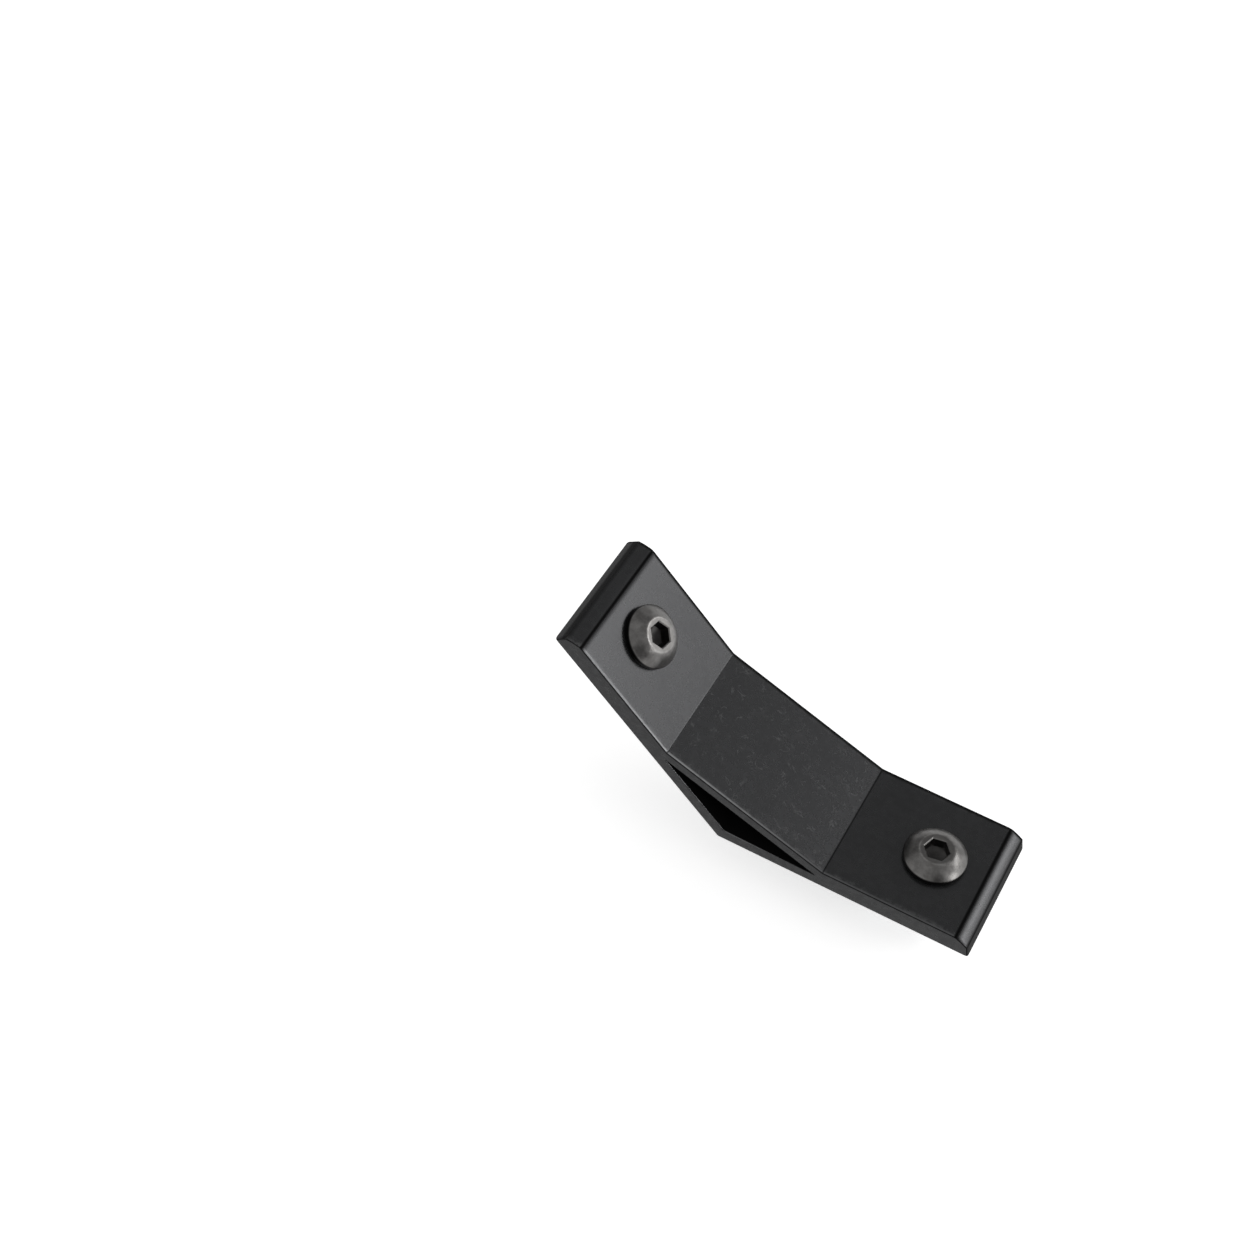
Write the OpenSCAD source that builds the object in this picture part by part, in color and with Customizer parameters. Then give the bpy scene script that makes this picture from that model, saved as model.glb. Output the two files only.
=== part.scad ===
// Angle bracket for two slotted bars that meet at a slant. A length of extrusion
// fills the obtuse corner: two thick plates with rounded noses, and between them
// a hollow triangle made of a web across the corner and two thinner legs along
// the seats. A button head screw in each plate pulls on a nut in the slot below.
//
// The origin is the inside corner, halfway across the bracket, where the planes
// of the two seats meet. X runs out along the lower seat, and Z leaves it.

/* [Bracket] */
// How steeply the upper seat leans over the lower one
lean = 45; // [30:1:60]
// Width of the bracket across the slots
bar_w = 30.5; // [24:0.5:38]
// Thickness of the plates under the screws
plate_t = 5; // [4:0.1:7]
// Length from the corner to each fold
fold_reach = 24; // [20:0.5:34]
// Length of each plate from its fold to its end
plate_len = 33.4; // [30:0.2:45]
// Thickness of the web across the corner
web_t = 2.5; // [2:0.1:3.5]
// Thickness of the legs under the hollow
leg_t = 3; // [2:0.1:3.5]
// Distance from the end of a plate to the middle of its hole
hole_inset = 14.8; // [13:0.2:16]

/* [Edges] */
// Length of the nose at the end of each plate
nose_len = 3.7; // [2:0.1:6]
// Height of the steep lip below the nose's curve
nose_lip = 3.1; // [1:0.1:4]
// How far the lip leans back from the end of the plate to its top
nose_rake = 0.65; // [0:0.05:1.5]
// Radius of the nose's curve
nose_r = 12; // [8:0.5:20]
// Radius in the blunt corner of the hollow
hollow_blunt_r = 1.2; // [0.4:0.1:2]
// Radius in the two sharp corners of the hollow
hollow_sharp_r = 0.2; // [0.1:0.05:0.4]
// Width taken off each seat at the corner, to clear a burr
heel_flat = 0.25; // [0.1:0.05:0.3]

/* [Screws] */
// Thread diameter, five sixteenths of an inch
thread_d = 7.94; // [6:0.01:8.5]
// Length under the head
screw_len = 17.5; // [16:0.5:20]
// Head diameter
head_d = 13.5; // [12:0.1:15]
// Head height
head_h = 3.5; // [3.3:0.1:4.4]
// Height of the upright band round the foot of the head
head_band_h = 1.1; // [0.4:0.05:1.4]
// Diameter of the flat on top of the head
crown_d = 7.5; // [6.5:0.1:9]
// Size of the hexagonal socket across its flats
socket_af = 4.76; // [3:0.01:5]
// Depth of the socket's flats
socket_depth = 2.6; // [2:0.1:3]
// Turn of the socket in the lower screw as tightened
lower_turn = 10.7; // [0:0.1:60]
// Turn of the socket in the upper screw as tightened
upper_turn = 19; // [0:0.1:60]
// Length of the cone at the tip of the thread
tip_len = 1; // [0.5:0.1:1.5]

/* [Nuts] */
// Width of the mating slot
slot_w = 8.13; // [7:0.01:10]
// Thickness of the lip that the nut pulls up against
lip_t = 3.6; // [3.3:0.1:4]
// Width of the nut across the slot
nut_w = 14.3; // [12.5:0.1:16]
// Length of the nut along the slot
nut_len = 17.5; // [14:0.1:22]
// Thickness of the nut below the lip
nut_t = 5.5; // [4.5:0.1:7]
// Height of the neck that stands up into the slot
neck_h = 1.2; // [0.6:0.1:1.2]
// Bevel along the two lower edges of the nut
nut_bevel = 1.5; // [0.5:0.1:2]

/* [Clearances] */
// Gap round each screw in its plate
hole_gap = 0.26; // [0.15:0.01:0.4]
// Gap round each screw in its nut
thread_gap = 0.05; // [0.03:0.01:0.08]
// Gap on each side of the neck in the slot
neck_gap = 0.2; // [0.1:0.05:0.4]
// Depth of the countersink at both ends of the nut's bore
bore_chamfer = 0.5; // [0.2:0.1:0.8]

/* [Hidden] */
$fn = 96;
half_lean = lean / 2;
hole_reach = fold_reach + plate_len - hole_inset;
plate_end = fold_reach + plate_len;
// How far a cut runs past a face
over = 1;
// How far the nose's cut starts ahead of its arc
lap = 0.05;

function unit(v) = v / norm(v);
// A point given along and above the upper seat, in the lower seat's frame
function on_upper(p) = [
    p.x * -cos(lean) + p.y * sin(lean),
    p.x * sin(lean) + p.y * cos(lean)
];

// Corners of the extruded outline and of the hollow, seen from the side
fold = [fold_reach, plate_t];
outline = [
    [heel_flat, 0], [plate_end, 0], [plate_end, plate_t], fold,
    on_upper(fold), on_upper([plate_end, plate_t]), on_upper([plate_end, 0]),
    on_upper([heel_flat, 0])
];
// Distance from the corner to the underside of the web
web_under = fold_reach * sin(half_lean) + plate_t * cos(half_lean) - web_t;
hollow_tip = [(web_under - leg_t * cos(half_lean)) / sin(half_lean), leg_t];
hollow = [[leg_t * tan(half_lean), leg_t], hollow_tip, on_upper(hollow_tip)];

// The centre of a circle that rounds the corner p between the sides to a and b
function round_centre(p, a, b, r) = let (
    side_a = unit(a - p),
    side_b = unit(b - p),
    half_angle = acos(side_a * side_b) / 2
) p + unit(side_a + side_b) * r / sin(half_angle);

module hollow_shape() {
    radii = [hollow_blunt_r, hollow_sharp_r, hollow_sharp_r];
    hull() for (i = [0:2])
        translate(round_centre(hollow[i], hollow[(i + 1) % 3], hollow[(i + 2) % 3], radii[i]))
            circle(r = radii[i], $fn = 32);
}

// What the nose takes from the lower plate's end: all outside an arc from the
// top face to the lip, and outside the lip
module nose_scrap() {
    start = [plate_end - nose_len, plate_t];
    end = [plate_end - nose_rake, nose_lip];
    chord = end - start;
    centre_drop = sqrt(nose_r * nose_r - chord * chord / 4);
    centre = (start + end) / 2 + unit([chord.y, -chord.x]) * centre_drop;
    difference() {
        translate([start.x - lap, end.y])
            square([nose_len + over, plate_t - nose_lip + over]);
        translate(centre) circle(r = nose_r);
    }
    polygon([
        end, [end.x, end.y + lap], [plate_end + over, end.y + lap],
        [plate_end + over, 0], [plate_end, 0]
    ]);
}

module side_profile() {
    difference() {
        polygon(outline);
        nose_scrap();
        mirror([cos(half_lean), -sin(half_lean)]) nose_scrap();
        hollow_shape();
    }
}

// Places what is drawn about the lower seat's corner at the lower screw
module at_lower_hole() {
    translate([hole_reach, 0, 0]) children();
}

// Places it at the upper screw, with its Z leaving the upper seat
module at_upper_hole() {
    rotate([0, lean, 0]) translate([-hole_reach, 0, 0]) children();
}

module clearance_hole() {
    translate([0, 0, -over]) cylinder(d = thread_d + 2 * hole_gap, h = plate_t + 2 * over);
}

// Button head screw with its seat plane at z = 0 and the plate below the head
module screw(turn) {
    dome_drop = (pow(crown_d / 2, 2) + pow(head_h, 2) - pow(head_d / 2, 2) - pow(head_band_h, 2))
        / (2 * (head_h - head_band_h));
    dome_r = norm([crown_d / 2, head_h - dome_drop]);
    thread_len = screw_len - tip_len;
    translate([0, 0, plate_t]) {
        difference() {
            intersection() {
                cylinder(d = head_d, h = head_h);
                translate([0, 0, dome_drop]) sphere(r = dome_r);
            }
            rotate([0, 0, turn]) socket();
        }
        translate([0, 0, -thread_len]) cylinder(d = thread_d, h = thread_len);
        translate([0, 0, -screw_len])
            cylinder(d1 = thread_d - 2 * tip_len, d2 = thread_d, h = tip_len);
    }
}

// Hexagonal socket with a drilled cone at its foot
module socket() {
    corner_d = socket_af / cos(30);
    translate([0, 0, head_h - socket_depth])
        cylinder(d = corner_d, h = socket_depth + over, $fn = 6);
    translate([0, 0, head_h - socket_depth - socket_af / 4])
        cylinder(d1 = 0, d2 = socket_af, h = socket_af / 4);
}

// Slot nut that pulls up against the lip's underside, with its neck in the slot
module slot_nut() {
    half_w = nut_w / 2;
    half_neck = slot_w / 2 - neck_gap;
    foot = -lip_t - nut_t;
    neck_top = -lip_t + neck_h;
    bore_d = thread_d + 2 * thread_gap;
    mouth_d = bore_d + 2 * bore_chamfer;
    difference() {
        rotate([90, 0, 90]) linear_extrude(height = nut_len, center = true) polygon([
            [-half_w + nut_bevel, foot], [half_w - nut_bevel, foot],
            [half_w, foot + nut_bevel], [half_w, -lip_t],
            [half_neck, -lip_t], [half_neck, neck_top],
            [-half_neck, neck_top], [-half_neck, -lip_t],
            [-half_w, -lip_t], [-half_w, foot + nut_bevel]
        ]);
        translate([0, 0, foot - over])
            cylinder(d = bore_d, h = nut_t + neck_h + 2 * over);
        translate([0, 0, foot])
            cylinder(d1 = mouth_d, d2 = bore_d, h = bore_chamfer);
        translate([0, 0, neck_top - bore_chamfer])
            cylinder(d1 = bore_d, d2 = mouth_d, h = bore_chamfer);
    }
}

// The part's pieces
module bracket() {
    color([0.13, 0.13, 0.135]) difference() {
        rotate([90, 0, 0]) linear_extrude(height = bar_w, center = true) side_profile();
        at_lower_hole() clearance_hole();
        at_upper_hole() clearance_hole();
    }
}

module lower_screw() {
    color([0.25, 0.24, 0.235]) at_lower_hole() screw(lower_turn);
}

module upper_screw() {
    color([0.25, 0.24, 0.235]) at_upper_hole() screw(upper_turn);
}

module lower_nut() {
    color([0.62, 0.63, 0.65]) at_lower_hole() slot_nut();
}

module upper_nut() {
    color([0.62, 0.63, 0.65]) at_upper_hole() slot_nut();
}

bracket();
lower_screw();
upper_screw();
lower_nut();
upper_nut();
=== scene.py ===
import math

import bmesh
import bpy
from mathutils import Euler, Matrix, Vector


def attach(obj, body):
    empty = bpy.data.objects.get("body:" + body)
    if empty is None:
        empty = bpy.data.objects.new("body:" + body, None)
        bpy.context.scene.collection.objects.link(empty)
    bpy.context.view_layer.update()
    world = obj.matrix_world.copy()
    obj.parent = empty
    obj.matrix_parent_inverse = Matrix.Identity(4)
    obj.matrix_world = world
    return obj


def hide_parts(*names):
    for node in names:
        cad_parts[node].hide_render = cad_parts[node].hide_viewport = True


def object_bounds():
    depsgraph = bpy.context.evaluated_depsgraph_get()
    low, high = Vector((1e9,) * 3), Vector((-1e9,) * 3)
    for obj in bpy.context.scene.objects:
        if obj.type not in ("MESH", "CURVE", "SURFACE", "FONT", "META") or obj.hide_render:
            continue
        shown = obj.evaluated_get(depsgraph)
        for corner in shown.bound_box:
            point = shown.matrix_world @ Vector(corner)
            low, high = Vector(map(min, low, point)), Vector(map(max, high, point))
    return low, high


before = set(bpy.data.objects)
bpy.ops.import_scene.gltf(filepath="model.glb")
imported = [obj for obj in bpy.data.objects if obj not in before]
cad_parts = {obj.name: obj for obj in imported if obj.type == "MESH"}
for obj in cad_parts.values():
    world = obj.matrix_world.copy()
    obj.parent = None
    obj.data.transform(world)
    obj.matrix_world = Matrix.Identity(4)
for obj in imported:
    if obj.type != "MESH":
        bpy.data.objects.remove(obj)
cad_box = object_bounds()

MM = 0.001
# Points closer than this are one
NEAR = 1e-7

# The part's sizes, as in its source
LEAN = math.radians(45)
BAR_W = 30.5 * MM
PLATE_T = 5 * MM
FOLD_REACH = 24 * MM
PLATE_LEN = 33.4 * MM
WEB_T = 2.5 * MM
LEG_T = 3 * MM
HOLE_INSET = 14.8 * MM
NOSE_LEN = 3.7 * MM
NOSE_LIP = 3.1 * MM
NOSE_RAKE = 0.65 * MM
NOSE_R = 12 * MM
HOLLOW_BLUNT_R = 1.2 * MM
HOLLOW_SHARP_R = 0.2 * MM
HEEL_FLAT = 0.25 * MM
THREAD_D = 7.94 * MM
PITCH = 25.4 / 18 * MM
SCREW_LEN = 17.5 * MM
TIP_LEN = 1 * MM
HEAD_D = 13.5 * MM
HEAD_H = 3.5 * MM
HEAD_BAND_H = 1.1 * MM
CROWN_D = 7.5 * MM
SOCKET_AF = 4.76 * MM
SOCKET_DEPTH = 2.6 * MM
LOWER_TURN = math.radians(10.7)
UPPER_TURN = math.radians(19)
LIP_T = 3.6 * MM
NUT_W = 14.3 * MM
NUT_LEN = 17.5 * MM
NUT_T = 5.5 * MM
NECK_W = 7.73 * MM
NECK_H = 1.2 * MM
NUT_BEVEL = 1.5 * MM
HOLE_GAP = 0.26 * MM
THREAD_GAP = 0.05 * MM
BORE_CHAMFER = 0.5 * MM

# Tumbled edges of the bracket: how far they reach over a plate and over a cut side, and how
# square they are, where 2 is a plain ellipse
ROLL_OVER_PLATE = 1 * MM
ROLL_OVER_SIDE = 0.5 * MM
ROLL_SQUARENESS = 3
ROLL_STEPS = 9

# Roundings in the bracket's outline
SEAT_EASE = 0.35 * MM
LIP_EASE = 0.08 * MM
RIDGE_EASE = 0.6 * MM
FOLD_EASE = 0.3 * MM
HOLLOW_EASE = 0.25 * MM
HOLE_EASE = 0.3 * MM

# Edges of the screws and nuts
CROWN_EASE = 0.22 * MM
BAND_EASE = 0.35 * MM
SOCKET_CHAMFER = 0.22 * MM
HEAD_FILLET = 0.2 * MM
NUT_EASE = 0.35 * MM
# Least width of the flat that is left round the socket's mouth
SOCKET_RING = 0.1 * MM
# The drilled cone at the socket's foot: its width over that of the flats, and the width of its
# point over its own
CONE_WIDTH = 0.96
CONE_POINT = 0.1
CONE_POINT_DROP = 0.05 * MM
# The hollow that the cut-off leaves in the screw's tip, and the rim round it
TIP_DISH = 0.12 * MM
TIP_DISH_RIM = 0.5 * MM
# Turns over which the thread fades out below the head, and the lean of its flanks
FADE_TURNS = 1.5
FLANK_LEAN = math.radians(30)
# Half the turn from one corner of a hexagon to the next
HEX_HALF = math.radians(30)
# Smallest radius of the screw's thread and of the nut's
SCREW_ROOT_R = 3.2 * MM
NUT_CREST_R = 3.3 * MM
# How far the tap's cut runs past the nut
TAP_OVER = 0.4 * MM

# Steps in the nose's arc, an eased mouth, the dome's arc, and a turn of a thread or of a round
NOSE_STEPS = 14
FLARE_STEPS = 4
DOME_STEPS = 10
THREAD_STEPS = 48
ROUND_STEPS = 96
# Edges that turn by more than this stay sharp, in degrees
CREASE = 25
SCREW_CREASE = 32

# The floor lies just clear of the part and runs far past it, and the lamps stand round it
FLOOR_GAP = 0.05 * MM
FLOOR_REACH = 6
LAMP_DISTANCE = 0.9

# Unit vectors square off the seats and the web, in the plane of the profile
OFF_LOWER = Vector((0, 0, 1))
OFF_UPPER = Vector((math.sin(LEAN), 0, math.cos(LEAN)))
OFF_WEB = (OFF_LOWER + OFF_UPPER).normalized()
ALONG_UPPER = Vector((-math.cos(LEAN), 0, math.sin(LEAN)))
PLATE_END = FOLD_REACH + PLATE_LEN
HOLE_REACH = PLATE_END - HOLE_INSET
WEB_HEIGHT = Vector((FOLD_REACH, 0, PLATE_T)).dot(OFF_WEB)
# Turns the X axis square to the bracket's middle plane
HALF_LEAN = Matrix.Rotation(LEAN / 2, 4, "Y")

AT_LOWER_HOLE = Matrix.Translation((HOLE_REACH, 0, 0))
AT_UPPER_HOLE = Matrix.Rotation(LEAN, 4, "Y") @ Matrix.Translation((-HOLE_REACH, 0, 0))

# The photograph's lens and stance, found from the bracket's corners
camera = bpy.data.objects.new("camera", bpy.data.cameras.new("camera"))
camera.data.sensor_width = 36
camera.data.lens = 57.416
camera.location = (0.08019, -0.23363, 0.35496)
camera.rotation_euler = Euler(math.radians(a) for a in (38.807, -2.667, 28.948))
camera.data.clip_start = 0.01
bpy.context.scene.collection.objects.link(camera)
bpy.context.scene.camera = camera
bpy.context.scene.view_settings.view_transform = "Standard"


class Signal:
    """A number or colour that varies over a surface, so that sums of them read as on paper."""

    def __init__(self, finish, socket):
        self.finish, self.socket = finish, socket

    def __add__(self, other):
        return self.finish.sum("ADD", self, other)

    def __sub__(self, other):
        return self.finish.sum("SUBTRACT", self, other)

    def __rsub__(self, other):
        return self.finish.sum("SUBTRACT", other, self)

    def __mul__(self, other):
        return self.finish.sum("MULTIPLY", self, other)

    def __pow__(self, other):
        return self.finish.sum("POWER", self, other)

    def __abs__(self):
        return self.finish.sum("ABSOLUTE", self)

    __radd__ = __add__
    __rmul__ = __mul__

    def either(self, other):
        """The larger of two signals."""
        return self.finish.sum("MAXIMUM", self, other)

    def smaller(self, other):
        """The smaller of two signals."""
        return self.finish.sum("MINIMUM", self, other)

    def ramp(self, start, end, low=0, high=1):
        """Goes smoothly from low to high as the signal goes from start to end."""
        return self.finish.node(
            "ShaderNodeMapRange", {"interpolation_type": "SMOOTHSTEP"},
            {"Value": self, "From Min": start, "From Max": end, "To Min": low, "To Max": high},
        )

    def line(self, middle, width):
        """1 where the signal is at the middle value, and 0 from width away."""
        return abs(self - middle).ramp(0, width, 1, 0)


class Finish:
    """The nodes of a material or a world, with the surface's own coordinates at hand."""

    def __init__(self, owner, piece_layer=None):
        owner.use_nodes = True
        self.owner, self.tree = owner, owner.node_tree
        kinds = ("BSDF_PRINCIPLED", "BACKGROUND")
        self.shader = next(node for node in self.tree.nodes if node.type in kinds)
        if piece_layer:
            self.place = self.node(
                "ShaderNodeAttribute", {"attribute_name": piece_layer}, out="Vector"
            )
        else:
            self.place = self.node("ShaderNodeTexCoord", out="Object")

    def node(self, kind, settings=(), values=(), out=0):
        """Adds a node: its settings first, then the values or links of its sockets."""
        made = self.tree.nodes.new(kind)
        for key, value in dict(settings).items():
            setattr(made, key, value)
        for key, value in dict(values).items():
            self.feed(made.inputs[key], value)
        return Signal(self, made.outputs[out])

    def feed(self, socket, value):
        if isinstance(value, Signal):
            self.tree.links.new(value.socket, socket)
        else:
            socket.default_value = value

    def sum(self, operation, *terms):
        return self.node("ShaderNodeMath", {"operation": operation}, dict(enumerate(terms)))

    def axes(self):
        """The surface's three coordinates, in metres."""
        split = self.node("ShaderNodeSeparateXYZ", values={"Vector": self.place}).socket.node
        return [Signal(self, output) for output in split.outputs]

    def along(self, direction):
        """How far the surface lies along a direction, in metres."""
        return self.node(
            "ShaderNodeVectorMath", {"operation": "DOT_PRODUCT"},
            {0: self.place, 1: direction}, out="Value",
        )

    def noise(self, size, detail=2, rough=0.5, stretch=(1, 1, 1), turn=(0, 0, 0), warp=0):
        """Noise whose blotches are about size metres across, longer where stretch is above 1."""
        place = self.node(
            "ShaderNodeMapping", {"vector_type": "TEXTURE"},
            {"Vector": self.place, "Rotation": turn, "Scale": stretch},
        )
        return self.node("ShaderNodeTexNoise", values={
            "Vector": place, "Scale": 1 / size, "Detail": detail, "Roughness": rough,
            "Distortion": warp,
        })

    def blend(self, mask, off, on):
        """A colour that goes from off to on with the mask."""
        return self.node("ShaderNodeMix", {"data_type": "RGBA"}, {0: mask, 6: off, 7: on}, out=2)

    def bump(self, height, depth, under=None):
        """Raises the surface by up to depth metres where height is 1."""
        values = {"Height": height, "Distance": depth, "Strength": 1}
        return self.node("ShaderNodeBump", values=values | ({"Normal": under} if under else {}))

    def set(self, **values):
        """Feeds the main shader's sockets."""
        for name, value in values.items():
            self.feed(self.shader.inputs[name.replace("_", " ")], value)

    def cover(self, shader, mask):
        """Shows another shader in place of the main one where the mask is 1."""
        main = Signal(self, self.shader.outputs[0])
        mix = self.node("ShaderNodeMixShader", values={0: mask, 1: main, 2: shader})
        self.feed(self.tree.nodes["Material Output"].inputs["Surface"], mix)


def grey(level, warmth=0):
    """A near-neutral colour, warmer above 0 and cooler below."""
    return (level * (1 + warmth), level, level * (1 - warmth), 1)


def black_anodise():
    """Satin black aluminium with a fine grain. The -Y long edges carry a lighter line, part wear
    and part painted highlight.
    Painted shade makes those on the +Y side dull and black, as well as lines along the folds, the
    noses and the corners."""
    finish = Finish(bpy.data.materials.new("black_anodise"))
    half_w, nose_start, lip_start = BAR_W / 2, PLATE_END - NOSE_LEN, PLATE_END - NOSE_RAKE

    # How far a point lies from the corner along its own seat, how high above that seat, and how
    # far round a long edge
    x, y, z = finish.axes()
    reach = x.either(finish.along(ALONG_UPPER))
    height = z.smaller(finish.along(OFF_UPPER))
    edge = finish.node("ShaderNodeAttribute", {"attribute_name": "edge_place"}, out="Fac")

    # Masks that are 1 on one region of the bracket
    rim = abs(y).ramp(half_w - 1.6 * MM, half_w - 0.3 * MM)
    cut_side = abs(y).ramp(half_w - 0.04 * MM, half_w - 0.01 * MM)
    far, lower_end = y.ramp(-1 * MM, 1 * MM), x.ramp(0, 10 * MM)
    on_web = finish.along(OFF_WEB).ramp(WEB_HEIGHT - 0.25 * MM, WEB_HEIGHT - 0.1 * MM)
    on_web = on_web * reach.ramp(FOLD_REACH - 0.8 * MM, FOLD_REACH - 0.3 * MM, 1, 0)
    on_top = height.ramp(NOSE_LIP - 0.1 * MM, NOSE_LIP + 0.1 * MM) * (1 - cut_side)
    near_end = on_top * reach.ramp(PLATE_END - 6 * MM, PLATE_END - 5.5 * MM)

    mottle = finish.noise(1.5 * MM, detail=4, rough=0.62)
    smudge = finish.noise(7 * MM, detail=2)
    grain = finish.noise(0.2 * MM, detail=3)
    drawn = finish.noise(0.16 * MM, detail=2, stretch=(1, 40, 1))
    sawn = finish.noise(0.12 * MM, detail=2, stretch=(30, 1, 1), turn=(0, 0.6, 0))
    hairs = finish.noise(3 * MM, detail=1, warp=1.6).line(0.5, 0.03)
    hairs = hairs * finish.noise(2.2 * MM, detail=1).ramp(0.52, 0.6) * on_web
    # A lighter line round the -Y long edges: partly wear, partly painted highlight, brightest on
    # the upper plate where the light falls and faint on the lower one
    highlight_and_wear_line = edge.ramp(0.05, 0.4) * edge.ramp(0.5, 0.62, 1, 0) * (1 - far) * (1 - cut_side)
    highlight_and_wear_line = highlight_and_wear_line * x.ramp(-0.02, 0.035, 1, 0.15) * mottle.ramp(0.2, 0.5, 0.5, 1)
    highlight_and_wear_line = highlight_and_wear_line * reach.ramp(nose_start - 0.4 * MM, nose_start, 1, 0)
    # Lighter along both long edges, partly wear and partly painted highlight, with scratches on
    # the web
    lightened = (rim * mottle.ramp(0.35, 0.65) * 0.15).either(hairs * 0.14).either(highlight_and_wear_line)
    base = finish.blend(mottle.ramp(0.3, 0.7), grey(0.006, -0.03), grey(0.0095, -0.03))
    relief = finish.bump(grain, 0.001 * MM)
    relief = finish.bump(drawn, 0.0008 * MM, relief)
    relief = finish.bump(sawn * cut_side, 0.006 * MM, relief)
    finish.set(
        Base_Color=finish.blend(lightened, base, grey(0.24, -0.01)),
        Roughness=0.19 + 0.09 * mottle + 0.07 * smudge - 0.1 * highlight_and_wear_line,
        Specular_IOR_Level=0.6,
        Specular_Tint=(0.965, 0.97, 1, 1),
        Normal=relief,
    )

    # Painted shade: the finish is made dull and black, with no reflection, along the ridges,
    # folds, junctions, lips, corners and +Y edges, and half over the cut sides.
    # On the lower plate the ridge's dark line fades down the nose, and on the upper plate it fades
    # towards the screw.
    past_ridge = (reach - nose_start) * (2 * lower_end - 1)
    ridge = past_ridge.ramp(-0.5 * MM, -0.1 * MM) * past_ridge.ramp(0.1 * MM, 1.6 * MM, 1, 0)
    ridge = ridge * near_end
    fold = reach.line(FOLD_REACH, 0.25 * MM) * on_top
    past_junction = reach - lip_start
    junction = past_junction.ramp(-0.7 * MM, -0.1 * MM) * past_junction.ramp(0, 0.12 * MM, 1, 0)
    junction = junction * (0.5 + 0.4 * lower_end) * (1 - cut_side)
    lip = past_junction.ramp(-0.1 * MM, 0) * (1 - cut_side)
    lip = lip * (0.35 + 0.5 * lower_end).either(height.ramp(1 * MM, 2.2 * MM, 0, 0.8))
    corner = edge.ramp(0.52, 0.64) * (1 - cut_side) * (1 - far)
    far_corner = y.ramp(half_w - 1.3 * MM, half_w - 0.5 * MM) * (1 - cut_side)
    painted_shade_mask = ridge.either(fold * 0.85).either(junction).either(lip).either(corner)
    painted_shade_mask = painted_shade_mask.either(far_corner * 0.95).either(cut_side * 0.5)
    painted_shade_shader = finish.node(
        "ShaderNodeBsdfPrincipled",
        values={"Base Color": grey(0.005), "Roughness": 0.55, "Specular IOR Level": 0},
    )
    finish.cover(painted_shade_shader, painted_shade_mask)
    return finish.owner


def black_oxide():
    """Warm dark steel, mottled on the dome and polished along the edge of the crown."""
    finish = Finish(bpy.data.materials.new("black_oxide"), "screw_place")
    head_top, half_af = PLATE_T + HEAD_H, SOCKET_AF / 2
    x, y, z = finish.axes()
    reach = (x * x + y * y) ** 0.5
    top = z.ramp(head_top - 0.12 * MM, head_top - 0.03 * MM)
    crown_edge = reach.line(CROWN_D / 2 - 0.05 * MM, 0.35 * MM)
    crown_edge = crown_edge * z.ramp(head_top - 0.5 * MM, head_top - 0.2 * MM)
    painted_socket_shade = reach.ramp(half_af, half_af + 0.5 * MM, 1, 0)
    painted_socket_shade = painted_socket_shade * z.ramp(head_top - 0.4 * MM, head_top - 0.1 * MM, 1, 0)
    painted_band_shade = reach.ramp(HEAD_D / 2 - 0.2 * MM, HEAD_D / 2 - 0.02 * MM)
    smudge = finish.noise(1.7 * MM, detail=5, rough=0.65)
    speck = finish.noise(0.5 * MM, detail=2).ramp(0.66, 0.74)
    grain = finish.noise(0.16 * MM, detail=3)
    lightened = crown_edge * smudge.ramp(0.3, 0.6)
    base = finish.blend(smudge.ramp(0.3, 0.7), grey(0.11, 0.03), grey(0.175, 0.025))
    # Painted shade: the socket's walls and cone, and the band round the head, are coloured nearly
    # black
    base = finish.blend((painted_socket_shade * 0.65).either(painted_band_shade), base, grey(0.02, 0.03))
    base = finish.blend(top * 0.5, base, grey(0.13, 0.03))
    relief = finish.bump(grain, 0.004 * MM)
    relief = finish.bump(1 - speck, 0.02 * MM, relief)
    finish.set(
        Metallic=1,
        Base_Color=finish.blend(lightened, base, grey(0.22, 0.025)),
        Roughness=0.26 + 0.14 * smudge - 0.06 * lightened,
        Normal=relief,
    )
    return finish.owner


def zinc_plate():
    """Satin zinc with faint streaks along the nut."""
    finish = Finish(bpy.data.materials.new("zinc_plate"), "nut_place")
    cloud = finish.noise(2.5 * MM, detail=4, rough=0.6)
    streak = finish.noise(0.3 * MM, detail=3, stretch=(25, 1, 1))
    grain = finish.noise(0.2 * MM, detail=3)
    finish.set(
        Metallic=1,
        Base_Color=finish.blend(cloud.ramp(0.3, 0.7), grey(0.42, -0.02), grey(0.58, -0.01)),
        Roughness=0.24 + 0.14 * cloud + 0.06 * streak,
        Normal=finish.bump(grain, 0.003 * MM, finish.bump(streak, 0.003 * MM)),
    )
    return finish.owner


def as_mesh(shape, name):
    mesh = bpy.data.meshes.new(name)
    shape.to_mesh(mesh)
    shape.free()
    return mesh


def as_object(mesh):
    made = bpy.data.objects.new(mesh.name, mesh)
    bpy.context.scene.collection.objects.link(made)
    return made


def add_shape(shape, other):
    """Adds a second shape's surface to the first, and lets go of the second."""
    mesh = as_mesh(other, "added")
    shape.from_mesh(mesh)
    bpy.data.meshes.remove(mesh)


def make_piece(name, shape, finish, node):
    """A piece that stands for a node and rides on that node's body."""
    mesh = as_mesh(shape, name)
    mesh.materials.append(finish)
    made = as_object(mesh)
    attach(made, node)
    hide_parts(node)
    return made


def put_at(shape, place, layer):
    """Keeps each point's own place under the layer's name, then moves the shape to its hole."""
    own = shape.verts.layers.float_vector.new(layer)
    for vert in shape.verts:
        vert[own] = vert.co
    bmesh.ops.transform(shape, matrix=place, verts=shape.verts)


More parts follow.
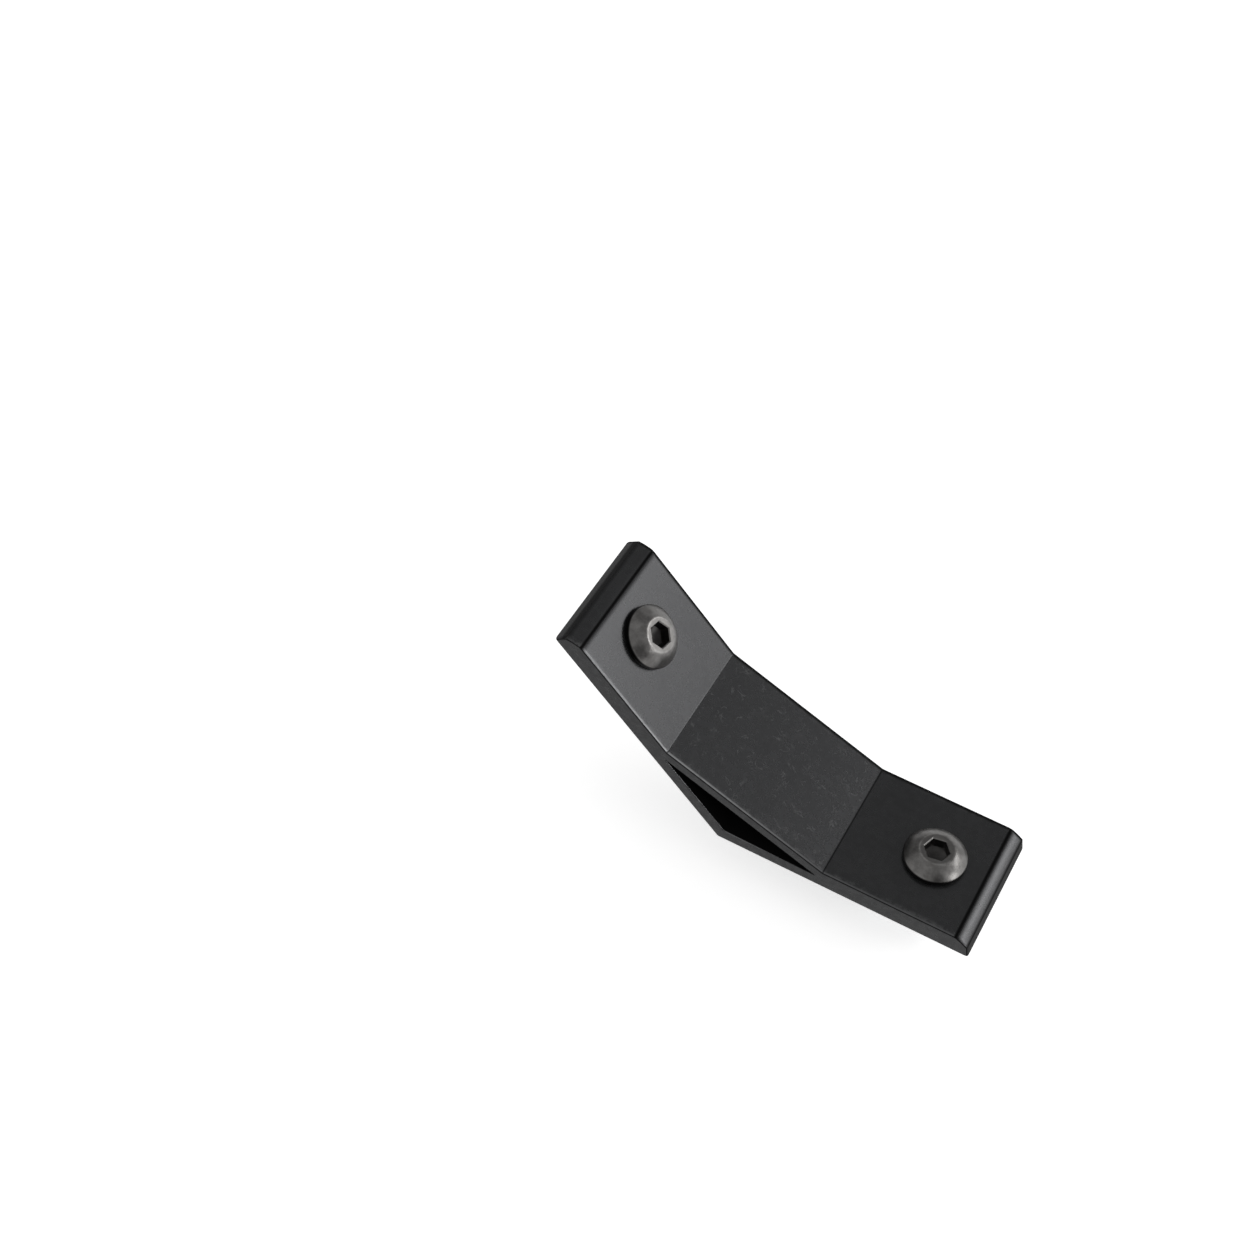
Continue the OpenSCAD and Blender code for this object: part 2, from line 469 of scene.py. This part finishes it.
def shade(shape, crease):
    """Smooth shading, with an edge kept sharp where its faces turn by more than crease degrees."""
    for face in shape.faces:
        face.smooth = True
    for edge in shape.edges:
        edge.smooth = edge.calc_face_angle(0) < math.radians(crease)


def draw_on(shape, vert, *stops):
    """Draws straight edges on from a vertex through the stops, and returns the last vertex."""
    for stop in stops:
        vert = bmesh.ops.extrude_vert_indiv(shape, verts=[vert])["verts"][0]
        vert.co = stop
    return vert


def ring(shape, radius, height):
    """The edges that lie on a circle about the Z axis."""
    def on_it(vert):
        return abs(vert.co.xy.length - radius) < NEAR and abs(vert.co.z - height) < NEAR
    return [edge for edge in shape.edges if all(on_it(vert) for vert in edge.verts)]


def round_off(shape, edges, width, segments=3):
    bmesh.ops.bevel(
        shape, geom=edges, offset=width, offset_type="OFFSET", segments=segments, profile=0.5,
        affect="EDGES", material=-1, clamp_overlap=False,
    )


def push_in(shape, loop, narrow, drop):
    """Extrudes a loop of edges towards the axis and down, and returns the new loop."""
    made = bmesh.ops.extrude_edge_only(shape, edges=loop)["geom"]
    verts = [part for part in made if isinstance(part, bmesh.types.BMVert)]
    bmesh.ops.scale(shape, vec=(narrow, narrow, 1), verts=verts)
    bmesh.ops.translate(shape, vec=(0, 0, -drop), verts=verts)
    fresh = set(verts)
    return [edge for edge in shape.edges if fresh.issuperset(edge.verts)], verts


def mirrored(place):
    """The image of a place in the bracket's middle plane."""
    return HALF_LEAN @ Matrix.Scale(-1, 4, (1, 0, 0)) @ HALF_LEAN.inverted() @ Vector(place)


def chain_across(shape, corner):
    """The edges that run on from each other across the bar, from a corner of its outline."""
    def at_corner(vert):
        return abs(vert.co.x - corner.x) < NEAR and abs(vert.co.z - corner.z) < NEAR
    chain = [edge for edge in shape.edges if all(at_corner(vert) for vert in edge.verts)]
    for vert in chain[0].verts[:]:
        onward = [chain[0]]
        while len(onward) == 1:
            beside = set(onward[0].link_faces)
            onward = [edge for edge in vert.link_edges if beside.isdisjoint(edge.link_faces)]
            chain += onward[:1]
            vert = chain[-1].other_vert(vert)
    return chain


def soften(shape, width, corner, segments=3):
    """Rounds a corner of the outline and its mirror image, all along the bar."""
    for place in (Vector(corner), mirrored(corner)):
        round_off(shape, chain_across(shape, place), width, segments)


def mirrored_face(shape):
    """Mirrors half an outline over the bracket's middle plane and fills it."""
    to_middle = HALF_LEAN.inverted()
    bmesh.ops.mirror(
        shape, geom=shape.verts[:] + shape.edges[:], matrix=to_middle, axis="X", merge_dist=-1
    )
    bmesh.ops.remove_doubles(shape, verts=shape.verts, dist=NEAR)
    loose_ends = [vert for vert in shape.verts if len(vert.link_edges) == 1]
    loose_ends.sort(key=lambda vert: vert.co.dot(OFF_WEB))
    for pair in zip(loose_ends[::2], loose_ends[1::2]):
        shape.edges.new(pair)
    bmesh.ops.contextual_create(shape, geom=shape.edges[:])


def extrude_across(shape, half_width):
    """Makes a flat outline a bar across the Y axis, and returns its two ends."""
    bmesh.ops.translate(shape, vec=(0, -half_width, 0), verts=shape.verts)
    made = bmesh.ops.extrude_face_region(shape, geom=shape.faces[:])["geom"]
    far = [part for part in made if isinstance(part, bmesh.types.BMVert)]
    bmesh.ops.translate(shape, vec=(0, 2 * half_width, 0), verts=far)
    bmesh.ops.recalc_face_normals(shape, faces=shape.faces)
    return [face for face in shape.faces if abs(face.normal.y) > 0.5]


def bracket_blank():
    """The cut length of extrusion without its hollow and holes, its long edges tumbled."""
    lip_top = Vector((PLATE_END - NOSE_RAKE, 0, NOSE_LIP))
    nose_top = Vector((PLATE_END - NOSE_LEN, 0, PLATE_T))
    chord = nose_top - lip_top
    drop = math.sqrt(NOSE_R ** 2 - chord.length_squared / 4)
    centre = (lip_top + nose_top) / 2 + Vector((-chord.z, 0, chord.x)).normalized() * drop
    sweep = 2 * math.asin(chord.length / 2 / NOSE_R)
    heel, seat_end = (HEEL_FLAT, 0, 0), (PLATE_END, 0, 0)
    fold = (FOLD_REACH, 0, PLATE_T)
    shape = bmesh.new()
    edge_place = shape.verts.layers.float.new("edge_place")
    lip = draw_on(shape, shape.verts.new(heel), seat_end, lip_top)
    nose = bmesh.ops.spin(
        shape, geom=[lip], cent=centre, axis=(0, 1, 0), angle=-sweep, steps=NOSE_STEPS
    )["geom_last"]
    draw_on(shape, next(part for part in nose if isinstance(part, bmesh.types.BMVert)), fold)
    mirrored_face(shape)
    ends = extrude_across(shape, BAR_W / 2 - ROLL_OVER_PLATE)
    for end in ends:
        face, reach, inset = end, ROLL_OVER_PLATE, 0
        for step in range(1, ROLL_STEPS + 1):
            angle = math.pi / 2 * (1 - step / ROLL_STEPS)
            next_reach = ROLL_OVER_PLATE * (1 - math.cos(angle) ** (2 / ROLL_SQUARENESS))
            next_inset = ROLL_OVER_SIDE * (1 - math.sin(angle) ** (2 / ROLL_SQUARENESS))
            bmesh.ops.inset_region(
                shape, faces=[face], thickness=next_inset - inset, depth=reach - next_reach,
                use_even_offset=True, use_boundary=True,
            )
            reach, inset = next_reach, next_inset
            for vert in face.verts:
                vert[edge_place] = step / ROLL_STEPS
    soften(shape, SEAT_EASE, seat_end)
    soften(shape, LIP_EASE, lip_top)
    soften(shape, RIDGE_EASE, nose_top, segments=5)
    soften(shape, FOLD_EASE, fold)
    for vert in shape.verts:
        vert.co.y = max(-BAR_W / 2, min(vert.co.y, BAR_W / 2))
    return shape


def flare(shape, face, width, past):
    """Widens the end of a cutter in a quarter round, for an eased edge, and runs it on past
    the face."""
    for step in range(FLARE_STEPS):
        angle, next_angle = (math.pi / 2 * s / FLARE_STEPS for s in (step, step + 1))
        bmesh.ops.inset_region(
            shape, faces=[face], use_even_offset=True, use_boundary=True,
            thickness=-width * (math.cos(angle) - math.cos(next_angle)),
            depth=width * (math.sin(next_angle) - math.sin(angle)),
        )
    bmesh.ops.inset_region(
        shape, faces=[face], thickness=-past, depth=past, use_even_offset=True, use_boundary=True
    )


def hollow_cutter():
    """The triangle under the web, right through the bracket."""
    under_web = WEB_HEIGHT - WEB_T
    blunt = (LEG_T * math.tan(LEAN / 2), 0, LEG_T)
    sharp = ((under_web - LEG_T * math.cos(LEAN / 2)) / math.sin(LEAN / 2), 0, LEG_T)
    shape = bmesh.new()
    draw_on(shape, shape.verts.new(blunt), sharp)
    mirrored_face(shape)
    for end in extrude_across(shape, BAR_W / 2 - HOLLOW_EASE):
        flare(shape, end, HOLLOW_EASE, HOLLOW_EASE)
    soften(shape, HOLLOW_SHARP_R, sharp)
    round_off(shape, chain_across(shape, Vector(blunt)), HOLLOW_BLUNT_R * math.tan(LEAN / 2))
    return shape


def hole_cutter(place):
    """A screw hole with eased mouths."""
    radius = THREAD_D / 2 + HOLE_GAP
    shape = bmesh.new()
    start = shape.verts.new((0, 0, -HOLE_EASE))
    draw_on(
        shape, start, (radius + 2 * HOLE_EASE, 0, -HOLE_EASE), (radius, 0, HOLE_EASE),
        (radius, 0, PLATE_T - HOLE_EASE), (radius + 2 * HOLE_EASE, 0, PLATE_T + HOLE_EASE),
        (0, 0, PLATE_T + HOLE_EASE),
    )
    bmesh.ops.spin(
        shape, geom=shape.verts[:] + shape.edges[:], cent=(0, 0, 0), axis=(0, 0, 1),
        angle=math.tau, steps=ROUND_STEPS, use_merge=True,
    )
    bmesh.ops.remove_doubles(shape, verts=shape.verts, dist=NEAR)
    for height in (HOLE_EASE, PLATE_T - HOLE_EASE):
        round_off(shape, ring(shape, radius, height), HOLE_EASE)
    bmesh.ops.recalc_face_normals(shape, faces=shape.faces)
    bmesh.ops.transform(shape, matrix=place, verts=shape.verts)
    return shape


def cut_away(blank, cutter):
    """The blank less the cutter, and lets go of both."""
    blank, cutter = (as_object(as_mesh(shape, "being cut")) for shape in (blank, cutter))
    cut = blank.modifiers.new("cut", "BOOLEAN")
    cut.operation, cut.solver, cut.object = "DIFFERENCE", "EXACT", cutter
    shape = bmesh.new()
    shape.from_object(blank, bpy.context.evaluated_depsgraph_get())
    for spent in (blank, cutter):
        bpy.data.meshes.remove(spent.data)
    bmesh.ops.remove_doubles(shape, verts=shape.verts, dist=NEAR)
    return shape


def bracket(finish):
    """The extruded bracket, with its hollow and its holes."""
    cutter = hollow_cutter()
    for place in (AT_LOWER_HOLE, AT_UPPER_HOLE):
        add_shape(cutter, hole_cutter(place))
    shape = cut_away(bracket_blank(), cutter)
    shade(shape, CREASE)
    made = make_piece("extruded_bracket", shape, finish, "bracket")
    made.modifiers.new("even shading", "WEIGHTED_NORMAL").keep_sharp = True


def screw_head(turn):
    """The domed head with its underside at the origin, open where the thread starts."""
    crown_r, head_r, corner = CROWN_D / 2, HEAD_D / 2, 1 / math.cos(HEX_HALF)
    dome_z = crown_r ** 2 + HEAD_H ** 2 - head_r ** 2 - HEAD_BAND_H ** 2
    dome_z /= 2 * (HEAD_H - HEAD_BAND_H)
    dome_turn = math.atan2(head_r, HEAD_BAND_H - dome_z) - math.atan2(crown_r, HEAD_H - dome_z)
    shape = bmesh.new()
    mouth_af = SOCKET_AF + 2 * SOCKET_CHAMFER
    inner_r = mouth_af / 2 * corner + SOCKET_RING
    start = shape.verts.new((inner_r, 0, HEAD_H))
    edge_of_crown = draw_on(shape, start, (crown_r, 0, HEAD_H))
    dome = bmesh.ops.spin(
        shape, geom=[edge_of_crown], cent=(0, 0, dome_z), axis=(0, 1, 0), angle=dome_turn,
        steps=DOME_STEPS,
    )
    foot_of_dome = next(part for part in dome["geom_last"] if isinstance(part, bmesh.types.BMVert))
    draw_on(shape, foot_of_dome, (head_r, 0, 0), (THREAD_D / 2 + HEAD_FILLET, 0, 0))
    bmesh.ops.spin(
        shape, geom=shape.verts[:] + shape.edges[:], cent=(0, 0, 0), axis=(0, 0, 1),
        angle=math.tau, steps=ROUND_STEPS, use_merge=True,
    )
    round_off(shape, ring(shape, crown_r, HEAD_H), CROWN_EASE)
    round_off(shape, ring(shape, head_r, 0), BAND_EASE, segments=4)
    loop, verts = push_in(shape, ring(shape, inner_r, HEAD_H), 1, 0)
    for vert in verts:
        off_flat = math.atan2(vert.co.y, vert.co.x) % (2 * HEX_HALF) - HEX_HALF
        vert.co.xy *= mouth_af / 2 / math.cos(off_flat) / vert.co.xy.length
    loop, verts = push_in(shape, loop, SOCKET_AF / mouth_af, SOCKET_CHAMFER)
    loop, verts = push_in(shape, loop, 1, SOCKET_DEPTH - SOCKET_CHAMFER)
    loop, verts = push_in(shape, loop, 1, 0)
    cone_r = CONE_WIDTH * SOCKET_AF / 2
    for vert in verts:
        vert.co.xy *= cone_r / vert.co.xy.length
    loop, verts = push_in(shape, loop, CONE_POINT, SOCKET_AF / 4)
    bmesh.ops.pointmerge(shape, verts=verts, merge_co=(0, 0, verts[0].co.z - CONE_POINT_DROP))
    bmesh.ops.transform(shape, matrix=Matrix.Rotation(turn, 4, "Z"), verts=shape.verts)
    return shape


def thread(major_r, minor_r, low, high):
    """A right-handed thread's surface about the Z axis, cut off square at low and high."""
    crest = PITCH / 8
    flank = (major_r - minor_r) * math.tan(FLANK_LEAN)
    root = (PITCH - crest - 2 * flank) / 2
    turns = math.ceil(high / PITCH) - math.floor(low / PITCH) + 1
    foot = (math.floor(low / PITCH) - 1) * PITCH
    shape = bmesh.new()
    start = shape.verts.new((minor_r, 0, foot))
    draw_on(
        shape, start, (minor_r, 0, foot + root), (major_r, 0, foot + root + flank),
        (major_r, 0, foot + PITCH - root - flank), (minor_r, 0, foot + PITCH - root),
        (minor_r, 0, foot + PITCH),
    )
    bmesh.ops.subdivide_edges(shape, edges=shape.edges[:], cuts=1)
    bmesh.ops.spin(
        shape, geom=shape.verts[:] + shape.edges[:], cent=(0, 0, 0), axis=(0, 0, 1),
        dvec=(0, 0, PITCH / THREAD_STEPS), angle=turns * math.tau, steps=turns * THREAD_STEPS,
    )
    bmesh.ops.remove_doubles(shape, verts=shape.verts, dist=NEAR)
    for height, clear in ((high, "clear_outer"), (low, "clear_inner")):
        bmesh.ops.bisect_plane(
            shape, geom=shape.verts[:] + shape.edges[:] + shape.faces[:], dist=NEAR,
            plane_co=(0, 0, height), plane_no=(0, 0, 1), **{clear: True},
        )
    return shape


def limit_radius(shape, rule):
    """Moves each point in or out to the radius that the rule gives for its radius and height."""
    for vert in shape.verts:
        radius = vert.co.xy.length
        vert.co.xy *= rule(radius, vert.co.z) / radius


def open_loop(shape, height):
    """The open edges at a height."""
    def at_height(vert):
        return abs(vert.co.z - height) < 10 * NEAR
    return [edge for edge in shape.edges if edge.is_boundary and at_height(edge.verts[0])]


def screw(end, place, turn, finish):
    """One button head screw at its hole, with its socket turned as tightened."""
    tip_z = PLATE_T - SCREW_LEN
    neck_z = PLATE_T - HEAD_FILLET
    fade_len = FADE_TURNS * PITCH

    def radius_at(radius, z):
        fade = min(1, max(0, (z - neck_z + fade_len) / fade_len))
        cone = THREAD_D / 2 - TIP_LEN + (z - tip_z)
        return min(radius + (THREAD_D / 2 - radius) * fade, cone)

    shape = thread(THREAD_D / 2, SCREW_ROOT_R, tip_z, neck_z)
    limit_radius(shape, radius_at)
    bmesh.ops.contextual_create(shape, geom=open_loop(shape, tip_z))
    head = screw_head(turn)
    bmesh.ops.translate(head, vec=(0, 0, PLATE_T), verts=head.verts)
    add_shape(shape, head)
    bmesh.ops.bridge_loops(shape, edges=[edge for edge in shape.edges if edge.is_boundary])
    bmesh.ops.remove_doubles(shape, verts=shape.verts, dist=NEAR)
    bmesh.ops.recalc_face_normals(shape, faces=shape.faces)
    tip = min(shape.faces, key=lambda face: face.calc_center_median().z)
    bmesh.ops.inset_region(shape, faces=[tip], thickness=TIP_DISH_RIM, depth=-TIP_DISH)
    put_at(shape, place, "screw_place")
    shade(shape, SCREW_CREASE)
    make_piece(f"{end}_button_screw", shape, finish, f"{end}_screw")


def nut_blank():
    """The slot nut's drawn bar, cut to length, with all its edges eased."""
    foot, top = -LIP_T - NUT_T, -LIP_T
    half_w, half_neck = NUT_W / 2, NECK_W / 2
    shape = bmesh.new()
    half = (
        (half_w - NUT_BEVEL, foot), (half_w, foot + NUT_BEVEL), (half_w, top), (half_neck, top),
        (half_neck, top + NECK_H),
    )
    outline = [shape.verts.new((-NUT_LEN / 2, y, z)) for y, z in half]
    outline += [shape.verts.new((-NUT_LEN / 2, -y, z)) for y, z in reversed(half)]
    end = shape.faces.new(outline)
    made = bmesh.ops.extrude_face_region(shape, geom=[end])["geom"]
    far = [part for part in made if isinstance(part, bmesh.types.BMVert)]
    bmesh.ops.translate(shape, vec=(NUT_LEN, 0, 0), verts=far)
    bmesh.ops.recalc_face_normals(shape, faces=shape.faces)
    outer = [edge for edge in shape.edges if edge.calc_face_angle_signed() > math.radians(CREASE)]
    round_off(shape, outer, NUT_EASE)
    return shape


def nut_cutter():
    """What the tap and the countersinks take out of the blank."""
    foot, top = -LIP_T - NUT_T, -LIP_T + NECK_H
    bore_r = THREAD_D / 2 + THREAD_GAP

    def radius_at(radius, z):
        past = max(z - (top - BORE_CHAMFER), foot + BORE_CHAMFER - z)
        return max(radius, bore_r + past)

    shape = thread(bore_r, NUT_CREST_R, foot - TAP_OVER, top + TAP_OVER)
    limit_radius(shape, radius_at)
    for height in (foot - TAP_OVER, top + TAP_OVER):
        bmesh.ops.contextual_create(shape, geom=open_loop(shape, height))
    bmesh.ops.recalc_face_normals(shape, faces=shape.faces)
    return shape


def nut(end, place, finish):
    """One slot nut at its hole, with a tapped bore."""
    shape = cut_away(nut_blank(), nut_cutter())
    put_at(shape, place, "nut_place")
    shade(shape, CREASE)
    make_piece(f"{end}_slot_nut", shape, finish, f"{end}_nut")


bracket(black_anodise())
oxide, zinc = black_oxide(), zinc_plate()
for end, place, turn in (
    ("lower", AT_LOWER_HOLE, LOWER_TURN),
    ("upper", AT_UPPER_HOLE, UPPER_TURN),
):
    screw(end, place, turn, oxide)
    nut(end, place, zinc)


def white_floor():
    """A pale floor that looks white to the camera, and is clear from below."""
    finish = Finish(bpy.data.materials.new("white_floor"))
    ray = finish.node("ShaderNodeLightPath").socket.node
    kinds = ("Camera", "Glossy", "Transmission")
    seen = sum(Signal(finish, ray.outputs[f"Is {kind} Ray"]) for kind in kinds)
    finish.set(Base_Color=grey(0.8), Roughness=0.6, Specular_IOR_Level=0.2)
    finish.set(Emission_Color=finish.blend(seen, grey(0), grey(1)), Emission_Strength=0.6)
    under = finish.node("ShaderNodeNewGeometry", out="Backfacing")
    finish.cover(finish.node("ShaderNodeBsdfTransparent"), under)
    return finish.owner


shape = bmesh.new()
bmesh.ops.create_grid(
    shape, x_segments=1, y_segments=1, size=FLOOR_REACH,
    matrix=Matrix.Translation((0, 0, cad_box[0].z - FLOOR_GAP)),
)
floor = as_object(as_mesh(shape, "floor"))
floor.data.materials.append(white_floor())


def softbox(name, towards, size, level):
    """A soft light that shines at the part from one side. Level is how bright its face looks."""
    lamp = bpy.data.lights.new(name, "AREA")
    lamp.shape = "RECTANGLE"
    lamp.size, lamp.size_y = size
    lamp.energy = level * math.pi * size[0] * size[1]
    made = bpy.data.objects.new(name, lamp)
    direction = Vector(towards).normalized()
    made.location = direction * LAMP_DISTANCE
    made.rotation_mode = "QUATERNION"
    made.rotation_quaternion = direction.to_track_quat("Z", "Y")
    bpy.context.scene.collection.objects.link(made)


def studio():
    """Pale walls that dim towards the ceiling, with dark patches overhead, on the left and on
    the right. The camera sees them white."""
    finish = Finish(bpy.data.worlds.new("studio"))
    finish.place = finish.node("ShaderNodeTexCoord", out="Generated")
    level = finish.axes()[2].ramp(0.1, 0.6, 1, 0.65)
    for direction, near, far, change in (
        ((0.04, 0.55, 0.83), 0.98, 0.9, -0.5),
        ((-0.85, 0.45, 0.27), 0.95, 0.7, -0.6),
        ((0.72, -0.68, 0.12), 0.93, 0.75, -0.9),
    ):
        lobe = finish.along(Vector(direction).normalized()).ramp(far, near)
        level = level * (1 + change * lobe)
    level = level.either(finish.node("ShaderNodeLightPath", out="Is Camera Ray"))
    finish.set(Color=finish.blend(level, grey(0), grey(1)), Strength=1)
    return finish.owner


softbox("high_window", (0.75, 0.47, 0.46), (0.5, 0.18), 5.5)
softbox("low_strip", (0.86, 0.36, 0.2), (0.95, 0.28), 0.45)
softbox("side_window", (0.95, -0.12, 0.3), (0.36, 0.22), 6)
bpy.context.scene.world = studio()
